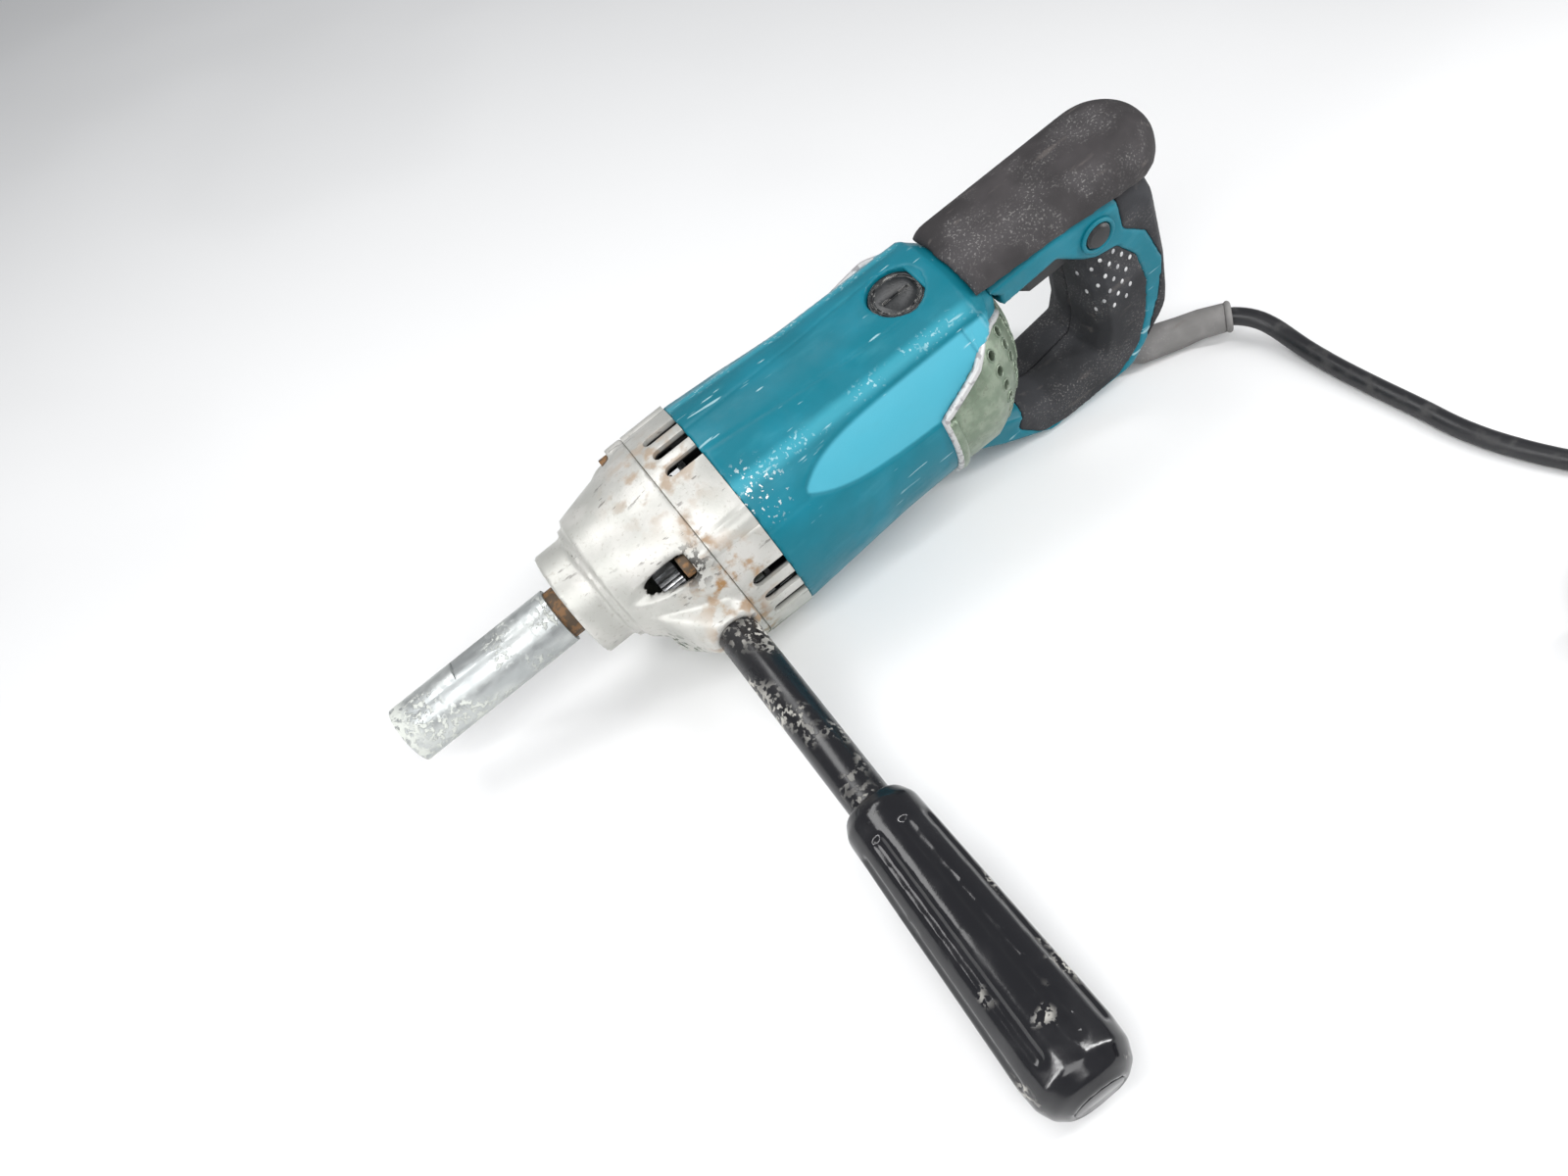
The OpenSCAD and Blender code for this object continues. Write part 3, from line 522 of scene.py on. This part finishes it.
def swept(name, points, radius, material, node, sides=10, closed=False):
    """A bead of round section along points of the tool; the radius is in millimetres."""
    bm = bmesh.new()
    count = len(points)
    rings = []
    for i, point in enumerate(points):
        back = points[i - 1] if closed or i else point
        ahead = points[(i + 1) % count] if closed or i < count - 1 else point
        along = (ahead - back).normalized()
        u = along.orthogonal().normalized() if not rings else flat(u, along)
        v = along.cross(u)
        rings.append([bm.verts.new(TOOL @ at) for at in ring_points(point, u, v, radius, sides)])
    pairs = list(zip(rings, rings[1:])) + ([(rings[-1], rings[0])] if closed else [])
    for a, b in pairs:
        for k in range(sides):
            bm.faces.new((a[k], a[(k + 1) % sides], b[(k + 1) % sides], b[k]))
    if not closed:
        bm.faces.new(rings[0][::-1])
        bm.faces.new(rings[-1])
    bmesh.ops.recalc_face_normals(bm, faces=bm.faces)
    mesh = mesh_of(bm, name)
    mesh.shade_smooth()
    return piece(name, mesh, material, node, stands_in=False)


def flat(vector, normal):
    """A vector turned into the plane across a normal."""
    return (vector - vector.dot(normal) * normal).normalized()


def around_motor(x, radius, degrees):
    """A point of the tool at an angle from the top towards the side handle."""
    a = math.radians(degrees)
    return Vector((x, -radius * math.sin(a), MOTOR_Z + radius * math.cos(a)))


# ---- mains cord ----
CORD_D = 8
CORD = [(199, 95.2, 8.8), (210.5, 89, 10.6), (215.2, 84, 10.7), (218.7, 78.3, 9.9), (221, 72, 8.3),
        (222.4, 64.5, 6.3), (223.3, 56, 4.8), (224.1, 46, 4.1), (225.2, 32, 4), (227.1, 16, 4),
        (229.5, -2, 4), (231, -16, 4), (234, -29, 4), (238, -40, 4), (242.5, -50, 4),
        (248, -60, 4), (257, -74, 4), (266, -88.5, 4.4), (275, -103, 5), (284.2, -117.5, 5)]
TAIL = [(248.1, -196.4, 29), (233, -199, 29), (218, -201.5, 27), (203, -204, 22.5),
        (188, -206.5, 18)]
COIL_AT = (240, -145)
COIL_INNER, COIL_OUTER = 36, 52
COIL_START, COIL_END = 31.9, -81.0
COIL_TURNS = 8 + (COIL_START - COIL_END) / 360
COIL_LAYERS = 4
POINTS_PER_TURN = 28
GUARD_RIM_R = 5.6


def coil_radius(t):
    """Inwards in one layer, outwards in the next."""
    layer = t / COIL_TURNS * COIL_LAYERS
    return COIL_INNER + (COIL_OUTER - COIL_INNER) * abs(layer % 2 - 1)


def coil_height(t):
    """Height of the cord's middle: it climbs one diameter at the end of each layer."""
    def climbed(at):
        s = min(1.0, max(0.0, (t - at + 0.12) / 0.24))
        return s * s * (3 - 2 * s)
    return 5 + CORD_D * sum(climbed(COIL_TURNS * k / COIL_LAYERS) for k in (1, 2, 3))


def coil_points():
    steps = round(COIL_TURNS * POINTS_PER_TURN)
    points = []
    for i in range(1, steps):
        t = COIL_TURNS * i / steps
        angle = math.radians(COIL_START - 360 * t)
        r = coil_radius(t)
        points.append((COIL_AT[0] + r * math.cos(angle), COIL_AT[1] + r * math.sin(angle),
                       coil_height(t)))
    return points


def make_cord(material):
    """One cord, from the guard along the floor, round the coil and out to the plug."""
    route = [Vector(p) * MM for p in CORD + coil_points() + TAIL]
    data = bpy.data.curves.new("mains_cord", "CURVE")
    data.dimensions, data.bevel_depth, data.bevel_resolution = "3D", CORD_D / 2 * MM, 6
    data.resolution_u, data.use_fill_caps = 3, True
    line = data.splines.new("BEZIER")
    line.bezier_points.add(len(route) - 1)
    for i, (knot, at) in enumerate(zip(line.bezier_points, route)):
        back, ahead = route[max(0, i - 1)], route[min(len(route) - 1, i + 1)]
        along = (ahead - back).normalized()
        knot.co = at
        knot.handle_left = at - along * (at - back).length / 3
        knot.handle_right = at + along * (ahead - at).length / 3
    data.materials.append(material)
    cord = link(bpy.data.objects.new("mains_cord", data))
    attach(cord, ROOT)
    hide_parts("cord", "cord_coil", "cord_tail")


def guard_rim():
    """A ring round the free end of the strain relief."""
    middle, ahead = Vector(CORD[1]), Vector(CORD[2])
    along = (ahead - Vector(CORD[0])).normalized()
    u = along.orthogonal().normalized()
    v = along.cross(u)
    return [FROM_TOOL @ (MM * at) for at in ring_points(middle, u, v, GUARD_RIM_R, 24)]


# ---- motor housing ----
PANEL_SINK, RIDGE_HEIGHT, CREASE_SINK, FOLD_SINK = 0.9, 0.35, 0.35, 0.3
HOUSING_X, HOUSING_R = (20, 72, 130), (47.0, 43.4, 42.3)
SURFACE_BAND = 1.3


def smooth(value, low, high):
    s = min(1.0, max(0.0, (value - low) / (high - low)))
    return s * s * (3 - 2 * s)


def housing_radius(x):
    return np.interp(x, HOUSING_X, HOUSING_R)


def panel_depth(x, angle):
    """How far in from the outside, 0 to 1, the long recess on each side lies."""
    top = PANEL_TOP + PANEL_TOP_SHIFT * math.exp((PANEL_X - x) / PANEL_TOP_LENGTH)
    low = PANEL_LOW - PANEL_LOW_SHIFT * math.exp((PANEL_X - x) / PANEL_LOW_LENGTH)
    return smooth(angle, top - 1.5, top + 1.5) * smooth(low - angle, -0.8, 0.8)


def housing_relief(point):
    """Sinks the side recess, the creases beside the top and the front fold; raises the ridge."""
    x, y, z = point
    radius = math.hypot(y, z - MOTOR_Z)
    if radius < housing_radius(x) - SURFACE_BAND:
        return point
    angle = abs(math.degrees(math.atan2(-y, z - MOTOR_Z)))
    depth = PANEL_SINK * panel_depth(x, angle) if x > PANEL_X else 0.0
    depth -= RIDGE_HEIGHT * math.exp(-((angle - RIDGE_ANGLE) / 3.5) ** 2) * smooth(x, 20, 26)
    crease = np.interp(x, (22, 102), (8.5, 17))
    depth += CREASE_SINK * math.exp(-(angle - crease) ** 2) * smooth(112 - x, 0, 8)
    depth += FOLD_SINK * math.exp(-((angle - 56) / 1.2) ** 2) * smooth(44 - x, 0, 4)
    scale = (radius - depth) / radius
    return Vector((x, y * scale, MOTOR_Z + (z - MOTOR_Z) * scale))


# ---- rear cover ----
LIP_X, SLOPE_END = 98, (160, 24.2)
COVER_R, DOME_X, DOME_R = 43.2, 102, 46
EDGE_X, EDGE_Z = (LIP_X, 121, 126, 133, 138, 141), (-1, 8.2, 9.7, 8, 4.4, 2)
LIP_BEAD, FOLD_BEAD, RIM_BEAD = 1.6, 2.7, 0.45
HOLE_ROWS, HOLES_PER_ROW, HOLE_R = 4, 10, 2.3
HOLE_ROLL, HOLE_ROLL_STEP = 64, 11
HOLE_TILT, HOLE_TILT_STEP = 58, 14
SADDLE_X, SADDLE_END_X, SADDLE_END_R = (122, 143), (130, 144), (42.1, 31)
SADDLE_THICK = 1.2


def cover_radius(x):
    return min(COVER_R, math.sqrt(DOME_R ** 2 - max(0, x - DOME_X) ** 2))


def edge_height(x):
    """Height of the cover's front edge: it rises to the rear, then dips under the handle."""
    return np.interp(x, EDGE_X, EDGE_Z)


def edge_angle(x):
    return math.degrees(math.acos((edge_height(x) - MOTOR_Z) / cover_radius(x)))


def cover_edge():
    """Points along the front edge, from the handle down one side, under and up the other."""
    half = [around_motor(x, cover_radius(x), edge_angle(x)) for x in np.linspace(140, LIP_X, 22)]
    first = math.degrees(math.acos((-1 - MOTOR_Z) / COVER_R))
    under = [around_motor(LIP_X, COVER_R, a) for a in np.linspace(first, 180, 20)[1:]]
    near = half + under
    return near + [Vector((p.x, -p.y, p.z)) for p in near[-2::-1]]


def hole_rims():
    """Rings round the holes of the cover, on the lattice they are cut on."""
    slope = (SLOPE_END[1] + 1) / (SLOPE_END[0] - LIP_X)
    rings = []
    for row in range(HOLE_ROWS):
        tilt = math.radians(HOLE_TILT - HOLE_TILT_STEP * row)
        for k in range(HOLES_PER_ROW):
            for side in (-1, 1):
                roll = HOLE_ROLL + HOLE_ROLL_STEP * (k + 0.5 * (row % 2))
                turn = side * math.radians(roll)
                out = Vector((math.cos(tilt), math.sin(tilt) * math.sin(turn),
                              -math.sin(tilt) * math.cos(turn)))
                at = Vector((DOME_X, 0, MOTOR_Z)) + (DOME_R - 0.1) * out
                if at.z > slope * (at.x - LIP_X) - 4:
                    continue
                u = flat(Vector((1, 0, 0)), out)
                v = out.cross(u)
                rings.append(ring_points(at, u, v, HOLE_R, 18))
    return rings


def saddle_row(bm, x):
    """Pairs of vertices, outside and inside, across the saddle from one side to the other."""
    inner = cover_radius(x) - 0.6
    thin = inner + SADDLE_THICK
    full = np.interp(x, SADDLE_END_X, SADDLE_END_R)
    row = []
    for share in np.linspace(-1, 1, 41):
        outer = thin + (full - thin) * smooth(1 - abs(share), 0.0, 0.3)
        turn = share * edge_angle(x)
        row.append([bm.verts.new(TOOL @ around_motor(x, r, turn)) for r in (outer, inner)])
    return row


def saddle():
    """Teal that lies over the front of the dome, from the housing's end to the handle's arm."""
    bm = bmesh.new()
    grid = [saddle_row(bm, x) for x in np.linspace(*SADDLE_X, 22)]
    for a, b in zip(grid, grid[1:]):
        for k in range(len(a) - 1):
            bm.faces.new((a[k][0], a[k + 1][0], b[k + 1][0], b[k][0]))
            bm.faces.new((a[k][1], b[k][1], b[k + 1][1], a[k + 1][1]))
        for k in (0, -1):
            bm.faces.new((a[k][0], b[k][0], b[k][1], a[k][1]))
    for row in (grid[0], grid[-1]):
        for a, b in zip(row, row[1:]):
            bm.faces.new((a[0], a[1], b[1], b[0]))
    bmesh.ops.recalc_face_normals(bm, faces=bm.faces)
    mesh = mesh_of(bm, "saddle")
    mesh.shade_smooth()
    return mesh


# ---- D-handle ----
DOT_ROWS, DOTS_PER_ROW = 7, 5
DOT_START, DOT_PITCH, DOT_LEAN = (176, -13), (6.2, 5.0), 0.4
DOT_SHAPE = (1.25 * MM, 0.8 * MM, 0.28 * MM, 1)
BUTTON_AT, BUTTON_RING_R = Vector((189, -20, 2)), 6.9


def surface_finder(thing):
    """A function that gives the point of a piece's side seen at x and z of the tool."""
    tree = BVHTree.FromObject(thing, bpy.context.evaluated_depsgraph_get())

    def find(x, z, side):
        start = tool_point(x, 40 * side, z)
        along = (tool_point(x, 0, z) - start).normalized()
        hit, normal, _, _ = tree.ray_cast(start, along)
        return hit, normal
    return find


def grip_dots(rubber, side, material, node):
    """Small raised ovals in staggered rows on the rubber beside the trigger."""
    find = surface_finder(rubber)
    bm = bmesh.new()
    for row in range(DOT_ROWS):
        for k in range(DOTS_PER_ROW):
            x = DOT_START[0] + DOT_PITCH[0] * (k + 0.5 * (row % 2)) + DOT_LEAN * row
            hit, normal = find(x, DOT_START[1] - DOT_PITCH[1] * row, side)
            if hit is None or x >= 203 - 0.3 * row:
                continue
            turn = normal.to_track_quat("Z", "X").to_matrix().to_4x4()
            place = Matrix.Translation(hit) @ turn @ Matrix.Diagonal(DOT_SHAPE)
            bmesh.ops.create_icosphere(bm, subdivisions=2, radius=1.0, matrix=place)
    mesh = mesh_of(bm, "dots")
    mesh.shade_smooth()
    return piece("grip_dots_" + ("near" if side < 0 else "far"), mesh, material, node,
                 stands_in=False)


# ---- the scene ----
def make_stage():
    """A plain pale floor and soft studio lights."""
    bm = bmesh.new()
    bmesh.ops.create_grid(bm, x_segments=1, y_segments=1, size=4.0)
    mesh = mesh_of(bm, "floor")
    floor = link(bpy.data.objects.new("floor", mesh))
    floor.location.z = -0.0002
    pale = Paint("floor", (0.86, 0.86, 0.86), 0.9)
    pale.tint(pale.step(pale.noise(300, 2), 0.4, 0.6), (0.83, 0.83, 0.83))
    mesh.materials.append(pale.done())
    world = bpy.data.worlds.new("studio")
    world.use_nodes = True
    world.node_tree.nodes["Background"].inputs[0].default_value = (0.95, 0.97, 1.0, 1.0)
    world.node_tree.nodes["Background"].inputs[1].default_value = 0.36
    bpy.context.scene.world = world


def make_light(name, at, target, size, watts, colour=(1, 1, 1)):
    data = bpy.data.lights.new(name, "AREA")
    data.shape, data.size, data.size_y = "RECTANGLE", size[0], size[1]
    data.energy, data.color = watts, colour
    light = link(bpy.data.objects.new(name, data))
    light.location = at
    light.rotation_euler = (Vector(target) - Vector(at)).to_track_quat("-Z", "Y").to_euler()


def paint_cad(materials):
    """Every node gets the material of its slot; those replaced later keep it for collision."""
    for node, thing in frame["nodes"].items():
        thing.data.materials.clear()
        thing.data.materials.append(materials[slot_of(node)])


def make_materials():
    return {
        "teal_plastic": teal_plastic(),
        "cast_aluminium": cast_aluminium(),
        "cover_metal": cover_metal(),
        "zinc_steel": zinc_steel(),
        "steel": plain_steel("steel", (0.55, 0.56, 0.57), 0.3),
        "dark_steel": rusty_steel(),
        "black_tube": black_gloss("black_tube", 0.75, 0.22),
        "laminations": laminations(),
        "copper": copper_wire(),
        "bronze": mottled("bronze", (0.45, 0.26, 0.08), (0.3, 0.17, 0.06), 0.4, 0.8),
        "black_plastic": black_plastic(),
        "grip_plastic": black_gloss("grip_plastic", 0.1, 0.12),
        "carbon": mottled("carbon", (0.02, 0.02, 0.021), (0.04, 0.04, 0.042), 0.6),
        "rubber": dusty_rubber("rubber", (0.02, 0.0205, 0.023), 0.5),
        "cord_rubber": cord_rubber(),
        "capacitor_film": mottled("capacitor_film", (0.5, 0.42, 0.08), (0.4, 0.34, 0.07), 0.3),
    }


def build_cord(paints):
    guard = softened("cord_guard", dusty_rubber("guard_rubber", (0.17, 0.165, 0.16), 1.0), 0.6, 4)
    tie = bevelled("cord_tie", paints["black_plastic"], 0.4)
    plug = bevelled("plug_body", paints["cord_rubber"], 1.2, 3)
    make_cord(paints["cord_rubber"])
    swept("guard_rim", guard_rim(), 1.5, guard.data.materials[0], "cord_guard", 10, True)


def build_front(paints):
    bevelled("coupling_sleeve", paints["zinc_steel"], 0.7, 3)
    softened("gear_housing", paints["cast_aluminium"], 0.9, 5)
    bevelled("gear_housing_screws", paints["dark_steel"], 0.3)
    bevelled("vent_ring", paints["cast_aluminium"], 0.35)
    softened("motor_housing", paints["teal_plastic"], 0.9, 4, housing_relief)
    cap = brush_cap()
    bevelled("brush_cap_top", cap, 0.35)
    bevelled("brush_cap_low", cap, 0.35)


def build_cover(paints, lip):
    metal = paints["cover_metal"]
    bevelled("rear_cover", metal, 0.2)
    piece("saddle", saddle(), paints["teal_plastic"], "motor_housing", stands_in=False)
    swept("cover_lip", cover_edge(), LIP_BEAD, lip, "rear_cover")
    fold = [around_motor(LIP_X + 1.5, COVER_R - 0.8, a) for a in np.linspace(73, 287, 60)]
    swept("cover_fold", fold, FOLD_BEAD, metal, "rear_cover", 14)
    for number, ring in enumerate(hole_rims()):
        swept(f"hole_rim_{number:02d}", ring, RIM_BEAD, metal, "rear_cover", 6, True)


def build_handle(paints, white):
    softened("handle_shell_left", paints["teal_plastic"], 0.9, 3)
    softened("handle_shell_right", paints["teal_plastic"], 0.9, 3)
    near = softened("grip_rubber_left", paints["rubber"], 0.8, 4)
    far = softened("grip_rubber_right", paints["rubber"], 0.8, 4)
    grip_dots(near, -1, white, "grip_rubber_left")
    grip_dots(far, 1, white, "grip_rubber_right")
    softened("top_pad", dusty_rubber("pad_rubber", (0.03, 0.027, 0.028), 0.8), 1.2, 22)
    bevelled("trigger", paints["black_plastic"], 0.8, 3)
    bevelled("lock_button", paints["black_plastic"], 0.4)
    circle = ring_points(BUTTON_AT, Vector((1, 0, 0)), Vector((0, 0, 1)), BUTTON_RING_R, 40)
    swept("button_ring", circle, 1.0, paints["teal_plastic"], "handle_shell_left", 10, True)
    bevelled("handle_screws", paints["dark_steel"], 0.3)


def build_side_handle(paints):
    bevelled("side_handle_tube", paints["black_tube"], 0.4)
    softened("side_handle_grip", paints["grip_plastic"], 0.9, 5)
    bevelled("side_handle_cap", paints["grip_plastic"], 0.3)


def build():
    paints = make_materials()
    paint_cad(paints)
    white = mottled("dot_white", (0.6, 0.6, 0.6), (0.35, 0.35, 0.36), 0.7)
    lip = lip_metal()
    build_cord(paints)
    build_front(paints)
    build_cover(paints, lip)
    build_handle(paints, white)
    build_side_handle(paints)


make_camera()
make_stage()
make_light("key", (-0.25, -0.55, 0.75), (0.05, 0, 0.05), (0.7, 0.5), 4.8)
make_light("top", (-0.3, 0.45, 0.9), (0.05, 0, 0.05), (0.8, 0.3), 4.2)
make_light("streak", (0.55, -0.2, 0.45), (0, -0.15, 0.03), (0.05, 0.9), 4)
make_light("rim", (-0.6, -0.2, 0.4), (0, -0.15, 0.03), (0.05, 0.7), 2)
build()

bpy.context.scene.view_settings.view_transform = "Standard"
